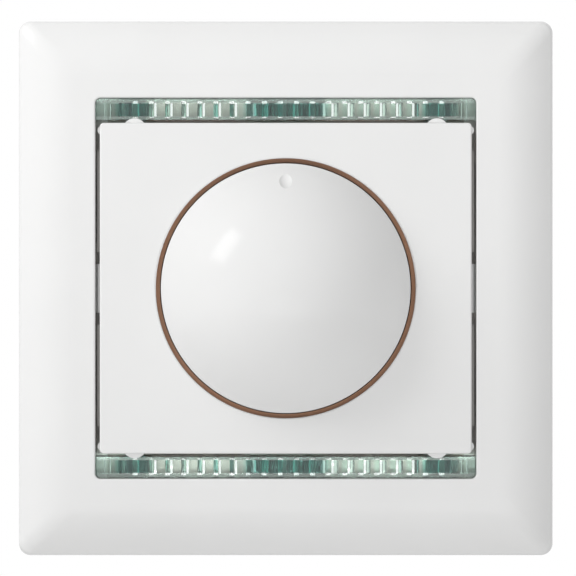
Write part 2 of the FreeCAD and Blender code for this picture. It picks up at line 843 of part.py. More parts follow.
# Housing screws: driven from the back into the front cover's bosses
def make_housing_screws():
    screws = []
    for side in (-1, 1):
        x = side * post_x
        z = side * post_z
        tip = cover_face + cover_wall + house_screw_spare
        shank = rod_y(house_screw_radius, tip, housing_depth, x, z)
        head = rod_y(house_head_radius, housing_depth, housing_depth + house_head_height, x, z)
        slot = block(x - house_head_radius, x + house_head_radius, housing_depth + house_head_height / 2,
                     housing_depth + 2 * house_head_height, z - driver_slot / 2, z + driver_slot / 2)
        screws.append(union([shank, head]).cut(slot))
    save("housing_screws", screws)


# Circuit board: drilled sheet between the switch and the housing's posts
def make_circuit_board():
    def hole(radius, x, z=0.0):
        return rod_y(radius, board_front - past, board_back + past, x, z)

    width = housing_width - 2 * housing_wall - 2 * board_gap
    height = housing_height - 2 * housing_wall - 2 * board_gap
    body = slab(width, height, housing_corner - housing_wall - board_gap, board_front, board_back)
    holes = []
    for side in (-1, 1):
        holes.append(hole(house_screw_radius + 2 * loose, side * post_x, side * post_z))
    for x in contact_places():
        holes.append(hole(pin_size / 2 + snug, x))
    for x in terminal_places():
        holes.append(hole(pin_size + snug, x, terminal_middle()))
    for k in range(lead_count):
        holes.append(hole(lead_hole, triac_x, lead_level(k)))
    save("circuit_board", [without(body, holes)])


# Choke: ferrite ring and the copper winding round most of it
def make_choke():
    def ring(outer, inner, front, back):
        return rod_y(outer, front, back).cut(rod_y(inner, front - past, back + past))

    back = board_front - winding
    front = back - core_height
    core = ring(core_radius, core_bore, front, back)
    wrap = ring(core_radius + winding, core_bore - winding, front - winding, board_front)
    wrap = wrap.cut(ring(core_radius + snug, core_bore - snug, front, back))
    wrap = wrap.cut(sector(2 * core_radius, front - core_height, board_front + past, 135, winding_gap))
    for shape in (core, wrap):
        shape.translate(Vector(choke_x, 0, choke_z))
    save("choke_core", [core])
    save("choke_winding", [wrap])


def lead_level(k):
    return sink_base - lead_reach - lead_step * (lead_count - 1 - k)


# Heat sink: folded aluminium strip between the support plate and the triac
def make_heat_sink():
    x = sink_face
    top = sink_base + sink_length
    tall = block(x, x + sink_thickness, 0, sink_depth, sink_base, top)
    foot = block(x - sink_foot, x + sink_thickness, 0, sink_thickness, sink_base, top)
    hole = rod_x(house_screw_radius + snug, x - past, x + sink_thickness + past, triac_y, tab_hole_z)
    save("heat_sink", [union([tall, foot]).cut(hole)])


# Triac: moulded body, tab with leads, and the screw that clamps it to the heat sink
def make_triac():
    x = sink_face - triac_tab
    half = triac_width / 2
    wide = lead_width / 2
    body = block(x - triac_thickness, x, triac_y - half, triac_y + half, sink_base, triac_top)
    tab = block(x, sink_face, triac_y - half, triac_y + half, sink_base, triac_top + triac_tab_length)
    tab = tab.cut(rod_x(house_screw_radius + loose, x - past, sink_face + past, triac_y, tab_hole_z))
    leads = []
    for k in range(lead_count):
        y = triac_y + lead_pitch * (k - (lead_count - 1) / 2)
        z = lead_level(k)
        root = block(triac_x - wide, triac_x + wide, y - wide, y + wide, z - wide, sink_base)
        run = block(triac_x - wide, triac_x + wide, y - wide, board_back, z - wide, z + wide)
        leads.append(union([root, run]))
    shank = rod_x(house_screw_radius, x, sink_face + sink_thickness, triac_y, tab_hole_z)
    head = rod_x(house_head_radius, x - house_head_height, x, triac_y, tab_hole_z)
    save("triac_body", [body])
    save("triac_tab", [tab])
    save("triac_leads", leads)
    save("triac_screw", [union([shank, head])])


# Small parts that stand on the board
def make_small_parts():
    film = block(film_x - film_width / 2, film_x + film_width / 2,
                 board_front - film_depth, board_front,
                 film_z - film_height / 2, film_z + film_height / 2)
    upright = [e for e in film.Edges if e.BoundBox.YLength > film_depth / 2]
    save("film_capacitor", [film.makeFillet(film_corner, upright)])
    timer = block(timer_x - timer_width / 2, timer_x + timer_width / 2,
                  board_front - timer_depth, board_front,
                  timer_rise - timer_height / 2, timer_rise + timer_height / 2)
    save("timing_capacitor", [timer.makeChamfer(timer_chamfer, timer.Edges[:4])])
    resistors = []
    for k in (-1, 0, 1):
        x = resistor_x + k * resistor_pitch
        z = resistor_z - resistor_length / 2
        resistors.append(rod_z(resistor_radius, z, z + resistor_length, x, board_front - resistor_radius))
    save("resistors", resistors)
    z = resistor_z + resistor_length / 2 + diode_radius + diode_gap
    half = diode_length / 2
    diode = rod_x(diode_radius, resistor_x - half, resistor_x + half, board_front - diode_radius, z)
    save("trigger_diode", [diode])


# Fuse: glass tube with two metal caps, held in two clips
def make_fuse():
    y = board_front - clip_sheet - fuse_radius
    x0 = fuse_shift - fuse_length / 2
    x1 = fuse_shift + fuse_length / 2
    tube_radius = fuse_radius - clip_sheet / 2
    tube = rod_x(tube_radius, x0 + clip_sheet, x1 - clip_sheet, y, fuse_z)
    save("fuse_tube", [tube.cut(rod_x(tube_radius - fuse_glass, x0, x1, y, fuse_z))])
    room = rod_x(tube_radius + snug, x0 + clip_sheet, x1 - clip_sheet, y, fuse_z)
    starts = (x0, x1 - fuse_cap)
    caps = [rod_x(fuse_radius, start, start + fuse_cap, y, fuse_z) for start in starts]
    save("fuse_caps", [cap.cut(room) for cap in caps])
    clips = []
    low = fuse_z - fuse_radius
    high = fuse_z + fuse_radius
    for start in starts:
        a = start + clip_sheet
        b = start + fuse_cap - clip_sheet
        outer = block(a, b, y, board_front, low - clip_sheet, high + clip_sheet)
        inner = block(a, b, y, board_front - clip_sheet, low, high)
        clips.append(outer.cut(inner))
    save("fuse_clips", clips)


# Terminals: drilled brass blocks with pins to the board, and their clamp screws backed out
def make_terminals():
    blocks = []
    screws = []
    seat = board_back + compartment_wall
    top = -housing_height / 2 + compartment_top
    bottom = top - terminal_height
    z = terminal_middle()
    back = seat + terminal_depth
    screw_y = back - wire_depth / 2
    tip = z - wire_radius
    for x in terminal_places():
        body = block(x - terminal_width / 2, x + terminal_width / 2, seat, back, bottom, top)
        body = body.fuse(rod_y(pin_size, board_front, seat, x, z))
        body = body.cut(rod_y(wire_radius, back - wire_depth, back + past, x, z))
        blocks.append(body.cut(rod_z(clamp_screw_radius + snug, bottom - past, z, x, screw_y)))
        shank = rod_z(clamp_screw_radius, bottom - clamp_open, tip, x, screw_y)
        shank = shank.cut(rod_y(wire_radius, seat, back + past, x, z))
        low = bottom - clamp_open - clamp_head_height
        head = rod_z(clamp_head_radius, low, bottom - clamp_open, x, screw_y)
        slot = block(x - clamp_head_radius, x + clamp_head_radius, screw_y - driver_slot / 2,
                     screw_y + driver_slot / 2, low - past, low + clamp_head_height / 2)
        screws.append(union([shank, head]).cut(slot))
    save("terminal_clamps", blocks)
    save("terminal_screws", screws)


# Claws: pressed levers on pins, each swung outward by a screw through its slotted foot
def make_claws():
    z0 = -claw_width / 2
    z1 = claw_width / 2
    inner = housing_width / 2 + claw_gap
    knuckle = rod_z(knuckle_radius, z0, z1, pivot_x, pivot_depth)
    arm = block(inner, inner + claw_thickness, pivot_depth, pivot_depth + claw_length, z0, z1)
    tip_x = inner + claw_tooth
    tip_y = pivot_depth + claw_length
    tooth = block(inner, tip_x, tip_y - claw_thickness, tip_y, z0, z1)
    nicks = []
    nick_pitch = claw_width / nick_count
    nick_front = tip_y - 2 * claw_thickness
    for k in range(nick_count):
        z = nick_pitch * (k - (nick_count - 1) / 2)
        points = [Vector(tip_x + loose, nick_front, z - nick_pitch / 3),
                  Vector(tip_x + loose, nick_front, z + nick_pitch / 3),
                  Vector(tip_x - claw_tooth / 3, nick_front, z)]
        nick = Part.Face(Part.makePolygon(points + points[:1]))
        nicks.append(nick.extrude(Vector(0, 3 * claw_thickness, 0)))
    half = claw_foot_thickness / 2
    room = claw_screw_radius + claw_screw_gap
    sway = claw_foot_thickness / 3
    foot_end = claw_screw_x + sway + room + claw_foot_end
    foot = block(pivot_x, foot_end, pivot_depth - half, pivot_depth + half, z0, z1)
    slot = [block(claw_screw_x - sway, claw_screw_x + sway, 0, 2 * pivot_depth, -room, room)]
    slot += [rod_y(room, 0, 2 * pivot_depth, claw_screw_x + s) for s in (-sway, sway)]
    foot = without(foot, slot)
    foot.rotate(Vector(pivot_x, pivot_depth, 0), Vector(0, 0, 1), claw_tilt)
    swing = math.radians(2 * claw_tilt)
    tail = (claw_screw_length - pivot_depth) / math.cos(swing) + room
    start = pivot_depth + knuckle_radius
    arm = arm.cut(block(inner - past, pivot_x, start, pivot_depth + tail, -room, room))
    claw = union([knuckle, arm, without(tooth, nicks), foot])
    claw = claw.cut(rod_z(claw_pin_radius + running, z0 - past, z1 + past, pivot_x, pivot_depth))
    save("claw_right", [claw])
    save("claw_left", [flipped(claw, Vector(1, 0, 0))])
    ear = claw_width / 2 + loose + support_thickness
    head = claw_pin_radius + knuckle_wall / 2
    pin = union([rod_z(claw_pin_radius, -ear, ear, pivot_x, pivot_depth),
                 rod_z(head, ear, ear + claw_pin_radius / 2, pivot_x, pivot_depth),
                 rod_z(head, -ear - claw_pin_radius / 2, -ear, pivot_x, pivot_depth)])
    save("claw_pins", [pin, flipped(pin, Vector(1, 0, 0))])
    shank = rod_y(claw_screw_radius, support_face, claw_screw_length, claw_screw_x)
    cap = rod_y(claw_head_radius, support_face - claw_head_height, support_face, claw_screw_x)
    slot = block(claw_screw_x - claw_head_radius, claw_screw_x + claw_head_radius,
                 support_face - 2 * claw_head_height, support_face - claw_head_height / 2,
                 -driver_slot / 2, driver_slot / 2)
    screw = union([shank, cap]).cut(slot)
    save("claw_screw_right", [screw])
    save("claw_screw_left", [flipped(screw, Vector(1, 0, 0))])


make_cover_frame()
make_light_insert()
make_centre_plate()
make_knob()
make_knob_leaf()
make_spindle()
make_spindle_clip()
make_bush()
make_bush_washer()
make_bush_nut()
make_potentiometer_case()
make_resistive_track()
make_wiper_rotor()
make_wiper_contact()
make_switch_case()
make_switch_contacts()
make_switch_plunger()
make_contact_bridge()
make_return_spring()
make_front_cover()
make_support_plate()
make_rear_housing()
make_housing_screws()
make_circuit_board()
make_choke()
make_heat_sink()
make_triac()
make_small_parts()
make_fuse()
make_terminals()
make_claws()
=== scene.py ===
import bpy
import math
import numpy as np
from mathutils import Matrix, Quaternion, Vector


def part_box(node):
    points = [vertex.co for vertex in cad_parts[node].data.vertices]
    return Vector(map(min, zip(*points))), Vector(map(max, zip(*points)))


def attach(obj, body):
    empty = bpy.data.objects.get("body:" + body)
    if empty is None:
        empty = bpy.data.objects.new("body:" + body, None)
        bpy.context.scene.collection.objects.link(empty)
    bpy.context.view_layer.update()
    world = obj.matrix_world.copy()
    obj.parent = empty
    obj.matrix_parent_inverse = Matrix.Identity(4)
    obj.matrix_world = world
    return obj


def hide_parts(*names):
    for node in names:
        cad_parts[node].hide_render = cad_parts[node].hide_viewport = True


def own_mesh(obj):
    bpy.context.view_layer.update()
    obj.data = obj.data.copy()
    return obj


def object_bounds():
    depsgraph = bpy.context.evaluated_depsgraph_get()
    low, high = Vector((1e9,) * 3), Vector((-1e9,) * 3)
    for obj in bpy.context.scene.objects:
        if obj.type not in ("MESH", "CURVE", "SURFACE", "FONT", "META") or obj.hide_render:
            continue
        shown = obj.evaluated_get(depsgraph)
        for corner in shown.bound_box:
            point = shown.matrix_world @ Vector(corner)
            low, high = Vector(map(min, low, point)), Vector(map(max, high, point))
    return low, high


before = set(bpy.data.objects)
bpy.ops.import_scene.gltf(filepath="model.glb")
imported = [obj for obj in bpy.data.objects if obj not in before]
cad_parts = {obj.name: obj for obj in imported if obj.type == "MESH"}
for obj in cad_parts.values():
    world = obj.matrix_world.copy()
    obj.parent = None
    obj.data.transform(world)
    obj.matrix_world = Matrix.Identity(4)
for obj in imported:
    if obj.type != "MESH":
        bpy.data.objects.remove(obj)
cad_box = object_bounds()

# Rear housing: the light grey box that closes the back of the switch.
# It is moulded in one piece, with open compartments at its foot for the wires,
# and two screws pull it against the front cover with the support plate between.


def place(tree, kind, settings=None, sockets=None):
    """A shader node of one kind; a socket is given a fixed value or the output that feeds it."""
    node = tree.nodes.new("ShaderNode" + kind)
    for name, value in (settings or {}).items():
        setattr(node, name, value)
    for name, value in (sockets or {}).items():
        if isinstance(value, bpy.types.NodeSocket):
            tree.links.new(value, node.inputs[name])
        else:
            node.inputs[name].default_value = value
    return node


def start_group(name, inputs, outputs):
    """An empty node group of plain numbers, with its input sockets and output sockets."""
    group = bpy.data.node_groups.new(name, "ShaderNodeTree")
    for label in inputs:
        group.interface.new_socket(label, in_out="INPUT", socket_type="NodeSocketFloat")
    for label in outputs:
        group.interface.new_socket(label, in_out="OUTPUT", socket_type="NodeSocketFloat")
    return group, group.nodes.new("NodeGroupInput").outputs, group.nodes.new("NodeGroupOutput").inputs


def make_moulded_skin():
    """Faint clouds in the colour, uneven gloss and a fine grain, as a steel mould leaves on plastic."""
    names = ("Cloud Scale", "Grain Scale", "Gloss", "Gloss Spread")
    group, given, result = start_group("moulded_skin", names, ("Tone", "Roughness", "Height"))
    here = place(group, "TexCoord").outputs["Object"]
    cloud = place(group, "TexNoise",
                  sockets={"Vector": here, "Scale": given["Cloud Scale"], "Detail": 3.0})
    grain = place(group, "TexNoise",
                  sockets={"Vector": here, "Scale": given["Grain Scale"], "Detail": 2.0})
    tone = place(group, "MapRange",
                 sockets={"Value": cloud.outputs["Fac"], "From Min": 0.3, "From Max": 0.7})
    offset = place(group, "Math", {"operation": "SUBTRACT"}, {0: cloud.outputs["Fac"], 1: 0.5})
    gloss = place(group, "Math", {"operation": "MULTIPLY_ADD"},
                  {0: offset.outputs[0], 1: given["Gloss Spread"], 2: given["Gloss"]})
    group.links.new(tone.outputs["Result"], result["Tone"])
    group.links.new(gloss.outputs[0], result["Roughness"])
    group.links.new(grain.outputs["Fac"], result["Height"])
    return group


moulded_skin = make_moulded_skin()


def start_material(name):
    """A new material that shades by nodes."""
    material = bpy.data.materials.new(name)
    material.use_nodes = True
    return material


def nodes_of(material):
    """A material's node tree and its main shader."""
    return material.node_tree, material.node_tree.nodes["Principled BSDF"]


def two_tone(name, effect, values, light, dark, strength, depth):
    """A material whose colour an effect's tone mixes from two, with the effect's gloss and relief."""
    material = start_material(name)
    tree, shader = nodes_of(material)
    skin = place(tree, "Group", {"node_tree": effect}, values)
    colour = place(tree, "Mix", {"data_type": "RGBA"},
                   {0: skin.outputs["Tone"], 6: (*dark, 1), 7: (*light, 1)})
    bump = place(tree, "Bump",
                 sockets={"Strength": strength, "Distance": depth, "Height": skin.outputs["Height"]})
    tree.links.new(colour.outputs[2], shader.inputs["Base Color"])
    tree.links.new(skin.outputs["Roughness"], shader.inputs["Roughness"])
    tree.links.new(bump.outputs["Normal"], shader.inputs["Normal"])
    return material


def moulded_plastic(name, light, dark, gloss, spread, cloud=90.0, grain=2600.0, depth=0.000004):
    """Plastic out of a mould: two near colours in soft clouds, over the moulded skin."""
    values = {"Cloud Scale": cloud, "Grain Scale": grain, "Gloss": gloss, "Gloss Spread": spread}
    return two_tone(name, moulded_skin, values, light, dark, strength=0.5, depth=depth)


def dress(material, *names):
    """Gives the named CAD nodes a material."""
    for name in names:
        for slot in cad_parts[name].material_slots:
            slot.material = material


housing_grey = moulded_plastic("housing_grey", light=(0.56, 0.57, 0.56), dark=(0.52, 0.53, 0.525),
                               gloss=0.45, spread=0.2)
dress(housing_grey, "rear_housing")

# Circuit board: a drilled sheet of pale brown laminate with a green lacquer.
# It lies between the push switch and the posts of the housing.

board_green = moulded_plastic("board_green", light=(0.045, 0.17, 0.075), dark=(0.03, 0.12, 0.05),
                              gloss=0.38, spread=0.2, cloud=220.0, grain=1500.0, depth=0.00001)
tree, shader = nodes_of(board_green)
weave = place(tree, "TexWave", {"wave_type": "BANDS", "bands_direction": "DIAGONAL"},
              {"Vector": place(tree, "TexCoord").outputs["Object"], "Scale": 420.0, "Distortion": 1.5})
weave_bump = place(tree, "Bump",
                   sockets={"Strength": 0.2, "Distance": 0.00003, "Height": weave.outputs["Fac"]})
tree.links.new(shader.inputs["Normal"].links[0].from_socket, weave_bump.inputs["Normal"])
tree.links.new(weave_bump.outputs["Normal"], shader.inputs["Normal"])
dress(board_green, "circuit_board")

# Choke: a ring of dark ferrite with enamelled copper wire wound round most of it.
# It quiets the hum of the regulator and stands flat on the board.

ferrite = moulded_plastic("ferrite", light=(0.055, 0.053, 0.055), dark=(0.03, 0.03, 0.032),
                          gloss=0.7, spread=0.2, cloud=500.0, grain=3000.0, depth=0.00002)
dress(ferrite, "choke_core")


def make_worn_metal():
    """Patchy tone, patchy polish and fine drawn lines, for bare and plated metal."""
    names = ("Patch Scale", "Line Scale", "Polish", "Polish Spread")
    group, given, result = start_group("worn_metal", names, ("Tone", "Roughness", "Height"))
    here = place(group, "TexCoord").outputs["Object"]
    patch = place(group, "TexNoise",
                  sockets={"Vector": here, "Scale": given["Patch Scale"], "Detail": 5.0})
    drawn = place(group, "Mapping", sockets={"Vector": here, "Scale": (1.0, 1.0, 0.06)})
    lines = place(group, "TexNoise",
                  sockets={"Vector": drawn.outputs["Vector"], "Scale": given["Line Scale"]})
    tone = place(group, "MapRange",
                 sockets={"Value": patch.outputs["Fac"], "From Min": 0.35, "From Max": 0.65})
    offset = place(group, "Math", {"operation": "SUBTRACT"}, {0: patch.outputs["Fac"], 1: 0.5})
    polish = place(group, "Math", {"operation": "MULTIPLY_ADD"},
                   {0: offset.outputs[0], 1: given["Polish Spread"], 2: given["Polish"]})
    group.links.new(tone.outputs["Result"], result["Tone"])
    group.links.new(polish.outputs[0], result["Roughness"])
    group.links.new(lines.outputs["Fac"], result["Height"])
    return group


worn_metal = make_worn_metal()


def plain_metal(name, light, dark, polish, spread, patch=300.0, lines=2500.0, depth=0.000006):
    """Metal with two near colours in patches, over the worn metal effect."""
    values = {"Patch Scale": patch, "Line Scale": lines, "Polish": polish, "Polish Spread": spread}
    metal = two_tone(name, worn_metal, values, light, dark, strength=0.4, depth=depth)
    metal.node_tree.nodes["Principled BSDF"].inputs["Metallic"].default_value = 1.0
    return metal


copper = plain_metal("enamelled_copper", light=(0.72, 0.29, 0.12), dark=(0.55, 0.19, 0.07),
                     polish=0.28, spread=0.15)
tree, shader = nodes_of(copper)
shader.inputs["Coat Weight"].default_value = 0.6
turns = place(tree, "TexWave", {"wave_type": "BANDS", "bands_direction": "Z"},
              {"Vector": place(tree, "TexCoord").outputs["Object"], "Scale": 250.0})
turn_bump = place(tree, "Bump",
                  sockets={"Strength": 0.8, "Distance": 0.0001, "Height": turns.outputs["Fac"]})
tree.links.new(turn_bump.outputs["Normal"], shader.inputs["Normal"])
dress(copper, "choke_winding")

# Regulator: a black moulded triac on a tinned tab, screwed to an aluminium strip.
# The strip leads the heat to the support plate, and three tinned legs go to the board.

black = moulded_plastic("black_moulding", light=(0.03, 0.03, 0.031), dark=(0.018, 0.018, 0.019),
                        gloss=0.5, spread=0.2)
dress(black, "triac_body")
tinned = plain_metal("tinned_metal", light=(0.66, 0.66, 0.65), dark=(0.55, 0.55, 0.54),
                     polish=0.35, spread=0.25)
dress(tinned, "triac_tab", "triac_leads")
aluminium = plain_metal("aluminium_sheet", light=(0.78, 0.79, 0.8), dark=(0.68, 0.69, 0.7),
                        polish=0.38, spread=0.2)
dress(aluminium, "heat_sink")
screw_steel = plain_metal("screw_steel", light=(0.7, 0.69, 0.65), dark=(0.58, 0.57, 0.53),
                          polish=0.3, spread=0.25)
dress(screw_steel, "triac_screw")

# Small parts on the board: two capacitors, the resistors, a trigger diode and a fuse in its clips.
# They are dipped or moulded plastic, lacquer, glass and tinned metal, soldered through the board.

dress(black, "trigger_diode")
capacitor_yellow = moulded_plastic("capacitor_yellow", light=(0.72, 0.5, 0.09), dark=(0.62, 0.41, 0.06),
                                   gloss=0.35, spread=0.15)
dress(capacitor_yellow, "film_capacitor", "timing_capacitor")
resistor_lacquer = moulded_plastic("resistor_lacquer", light=(0.5, 0.36, 0.2), dark=(0.42, 0.29, 0.15),
                                   gloss=0.4, spread=0.15)
band_brown, band_start = (0.16, 0.05, 0.02, 1), 0.72
tree, shader = nodes_of(resistor_lacquer)
bands = place(tree, "TexWave", {"wave_type": "BANDS", "bands_direction": "Z", "wave_profile": "SIN"},
              {"Vector": place(tree, "TexCoord").outputs["Object"], "Scale": 190.0})
band_mask = place(tree, "Math", {"operation": "GREATER_THAN"}, {0: bands.outputs["Fac"], 1: band_start})
banded = place(tree, "Mix", {"data_type": "RGBA"},
               {0: band_mask.outputs[0], 6: shader.inputs["Base Color"].links[0].from_socket,
                7: band_brown})
tree.links.new(banded.outputs[2], shader.inputs["Base Color"])
dress(resistor_lacquer, "resistors")
fuse_glass = start_material("fuse_glass")
tree, shader = nodes_of(fuse_glass)
streaks = place(tree, "TexNoise",
                sockets={"Vector": place(tree, "TexCoord").outputs["Object"], "Scale": 900.0})
streak_gloss = place(tree, "MapRange",
                     sockets={"Value": streaks.outputs["Fac"], "To Min": 0.01, "To Max": 0.06})
tree.links.new(streak_gloss.outputs["Result"], shader.inputs["Roughness"])
shader.inputs["Base Color"].default_value = (0.93, 0.96, 0.95, 1)
shader.inputs["Transmission Weight"].default_value = 1.0
shader.inputs["IOR"].default_value = 1.5
dress(fuse_glass, "fuse_tube")
dress(tinned, "fuse_caps", "fuse_clips")

# Terminals: drilled brass blocks with clamp screws, one to a compartment of the housing.
# The screws stand backed out, ready for the wires.

brass = plain_metal("turned_brass", light=(0.74, 0.53, 0.22), dark=(0.62, 0.42, 0.16),
                    polish=0.3, spread=0.25)
dress(brass, "terminal_clamps")
dress(screw_steel, "terminal_screws")

# Support plate and claws: pressed steel with a cloudy zinc plating, an even lighter zinc on the tongues
# behind the clear bars, and painted shade, a dark zinc, on the plate's front face in the shade of the
# window.
# The plate is screwed to the wall box, or the claws are swung out by their screws to grip it.

zinc_steel = plain_metal("zinc_steel", light=(0.55, 0.54, 0.52), dark=(0.4, 0.395, 0.38),
                         polish=0.42, spread=0.3, patch=180.0, lines=1400.0, depth=0.000012)
# Painted shade: a dark zinc on the plate's front face, deep in the window, and an even lighter zinc on the
# tongues.
painted_shade_zinc, bright_zinc = (0.26, 0.25, 0.23, 1), (0.47, 0.47, 0.435, 1)
tongue_front, tongue_low, tongue_high = -0.003, 0.0248, 0.0252
pressed_middle, pressed_half, tongue_fade_least = 0.02705, 0.00105, 0.8
shade_start, shade_full, rim_start = -0.0008, -0.0011, 0.0272
tree, shader = nodes_of(zinc_steel)
spot = place(tree, "SeparateXYZ", sockets={0: place(tree, "TexCoord").outputs["Object"]}).outputs
rise = place(tree, "Math", {"operation": "ABSOLUTE"}, {0: spot["Z"]})
forward = place(tree, "Math", {"operation": "LESS_THAN"}, {0: spot["Y"], 1: tongue_front})
by_bars = place(tree, "MapRange", {"clamp": True},
                {"Value": rise.outputs[0], "From Min": tongue_low, "From Max": tongue_high})
pressed = place(tree, "Math", {"operation": "COMPARE"},
                {0: rise.outputs[0], 1: pressed_middle, 2: pressed_half})
tongue_fade = place(tree, "MapRange",
               sockets={"Value": pressed.outputs[0], "To Min": tongue_fade_least, "To Max": 1.0})
tongue = place(tree, "Math", {"operation": "MULTIPLY"},
               {0: by_bars.outputs["Result"], 1: forward.outputs[0]})
bright = place(tree, "Math", {"operation": "MULTIPLY"},
               {0: tongue.outputs[0], 1: tongue_fade.outputs["Result"]})
inside = place(tree, "MapRange",
               sockets={"Value": spot["Y"], "From Min": shade_start, "From Max": shade_full})
sideways = place(tree, "Math", {"operation": "ABSOLUTE"}, {0: spot["X"]})
off_rims = place(tree, "Math", {"operation": "LESS_THAN"}, {0: sideways.outputs[0], 1: rim_start})
shaded = place(tree, "Math", {"operation": "MULTIPLY"},
               {0: inside.outputs["Result"], 1: off_rims.outputs[0]})
# Painted shade: the dark zinc is mixed in on the front face of the plate, away from its side rims.
painted_shade_mix = place(tree, "Mix", {"data_type": "RGBA"},
               {0: shaded.outputs[0], 6: shader.inputs["Base Color"].links[0].from_socket, 7: painted_shade_zinc})
tongue_toned = place(tree, "Mix", {"data_type": "RGBA"},
                  {0: bright.outputs[0], 6: painted_shade_mix.outputs[2], 7: bright_zinc})
tree.links.new(tongue_toned.outputs[2], shader.inputs["Base Color"])
dress(zinc_steel, "support_plate", "claw_left", "claw_right")
dress(screw_steel, "claw_screw_left", "claw_screw_right", "claw_pins")

# Potentiometer and push switch: black and brown mouldings with brass contacts and a carbon track,
# stacked behind the bush on the spindle's axis and held by a clip of spring steel.
# The return spring is wound from square wire and shortens as the knob is pressed.

dress(black, "potentiometer_case", "wiper_rotor", "switch_case", "switch_plunger")
dress(brass, "switch_contacts", "contact_bridge", "wiper_contact", "threaded_bush", "spindle")
dress(screw_steel, "bush_nut", "lock_washer")
phenolic = moulded_plastic("phenolic", light=(0.2, 0.11, 0.055), dark=(0.15, 0.08, 0.04),
                           gloss=0.5, spread=0.2, cloud=400.0)
dress(phenolic, "resistive_track")
spring_steel = plain_metal("spring_steel", light=(0.42, 0.43, 0.45), dark=(0.3, 0.31, 0.33),
                           polish=0.3, spread=0.25)
dress(spring_steel, "spindle_clip")


def surface_piece(name, points, quads, millimetre=0.001, crease=30):
    """A mesh from arrays of points in millimetres and quads, with only the points that the quads use.

    It is shaded smooth, apart from edges that bend by more than the crease in degrees.
    """
    used, quads = np.unique(quads, return_inverse=True)
    mesh = bpy.data.meshes.new(name)
    mesh.from_pydata(points[used] * millimetre, [], quads.reshape(-1, 4))
    mesh.polygons.foreach_set("use_smooth", np.ones(len(mesh.polygons), bool))
    mesh.set_sharp_from_angle(angle=math.radians(crease))
    piece = bpy.data.objects.new(name, mesh)
    bpy.context.scene.collection.objects.link(piece)
    return piece


def coil_rings(reach, low, high, turns, wire_half, squareness, turn_steps=72, wire_steps=16):
    """A rounded square carried round a helix that climbs evenly from low to high within its reach.

    The square's sides are the cosine and the sine of an angle, each with its sign kept and its size
    raised to a small power, times half the wire's width.
    """
    turn = np.linspace(0, 2 * np.pi * turns, turn_steps * turns + 1)[:, None]
    around = np.linspace(0, 2 * np.pi, wire_steps, endpoint=False) + np.pi / wire_steps
    wire_out, wire_along = (wire_half * np.sign(side) * np.abs(side) ** squareness
                            for side in (np.cos(around), np.sin(around)))
    out = reach - wire_half + wire_out
    rise = low + wire_half + (high - low - 2 * wire_half) * turn / turn[-1] + wire_along
    return np.stack([out * np.cos(turn), rise, -out * np.sin(turn)], -1)


def tube_faces(rings, around):
    """Quads of a closed tube: from each ring of points to the next, and in strips across both ends."""
    number = np.arange(rings * around).reshape(rings, around)
    near, far = number[:-1], number[1:]
    sides = np.stack([near, far, np.roll(far, -1, 1), np.roll(near, -1, 1)], -1).reshape(-1, 4)
    strip = np.arange(around // 2 - 1)
    cap = np.stack([strip, strip + 1, around - 2 - strip, around - 1 - strip], -1)
    return np.concatenate([sides, cap, cap[:, ::-1] + number[-1, 0]])


coil_low, coil_high = np.array(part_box("return_spring")) * 1000
coil = coil_rings(coil_high[2], coil_low[1], coil_high[1], turns=3, wire_half=0.25, squareness=0.35)
coil_spring = surface_piece("coil_spring", coil.reshape(-1, 3), tube_faces(*coil.shape[:2]))
coil_spring.data.materials.append(spring_steel)
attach(coil_spring, "housing")
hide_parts("return_spring")
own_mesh(coil_spring)

# Front cover: a brown moulding with the well in which the knob turns.
# The two housing screws hold it, and it shows as the thin brown ring round the knob.

brown = moulded_plastic("brown_moulding", light=(0.5, 0.27, 0.165), dark=(0.43, 0.225, 0.135),
                        gloss=0.45, spread=0.2)
dress(brown, "front_cover")
dress(screw_steel, "housing_screws")

# Light insert: one clear moulding with a green tint, whose two ribbed bars show in the window.
# It sits on the support plate behind the frame, and its back is moulded with pockets between the ribs
# and with the fine ridges, slants, teeth and notches that catch the light.

clear_green = start_material("clear_green")
tree, shader = nodes_of(clear_green)
flow = place(tree, "TexNoise",
             sockets={"Vector": place(tree, "TexCoord").outputs["Object"], "Scale": 700.0, "Detail": 3.0})
flow_gloss = place(tree, "MapRange",
                   sockets={"Value": flow.outputs["Fac"], "To Min": 0.0, "To Max": 0.07})
flow_bump = place(tree, "Bump",
                  sockets={"Strength": 0.5, "Distance": 0.00002, "Height": flow.outputs["Fac"]})
tree.links.new(flow_gloss.outputs["Result"], shader.inputs["Roughness"])
tree.links.new(flow_bump.outputs["Normal"], shader.inputs["Normal"])
# Painted shade: on the rows of pockets the tint is deep green where the bars look into shade, out to about
# 6 mm and from 21 to 25 mm, pale green from 7 to 20 mm where the lit tongues lie behind, and grey green
# past 26 mm; the rims above and below the pockets are grey green.
zone_reach, pocket_middle, pocket_half = 0.03, 0.027, 0.00098
deep_green, pale_green, grey_green = (0.5, 0.8, 0.76, 1), (0.94, 0.985, 0.95, 1), (0.9, 0.95, 0.91, 1)
stops = ((0.0, deep_green), (0.19, deep_green), (0.22, pale_green), (0.68, pale_green),
         (0.71, deep_green), (0.85, deep_green), (0.87, grey_green))
along = place(tree, "SeparateXYZ", sockets={0: place(tree, "TexCoord").outputs["Object"]}).outputs
reach = place(tree, "Math", {"operation": "ABSOLUTE"}, {0: along["X"]})
across = place(tree, "MapRange", sockets={"Value": reach.outputs[0], "From Max": zone_reach})
zones = place(tree, "ValToRGB", sockets={0: across.outputs["Result"]})
for at, _ in stops[2:]:
    zones.color_ramp.elements.new(at)
for element, (at, colour) in zip(zones.color_ramp.elements, stops):
    element.position = at
    element.color = colour
bar_rise = place(tree, "Math", {"operation": "ABSOLUTE"}, {0: along["Z"]})
pocketed = place(tree, "Math", {"operation": "COMPARE"},
                 {0: bar_rise.outputs[0], 1: pocket_middle, 2: pocket_half})
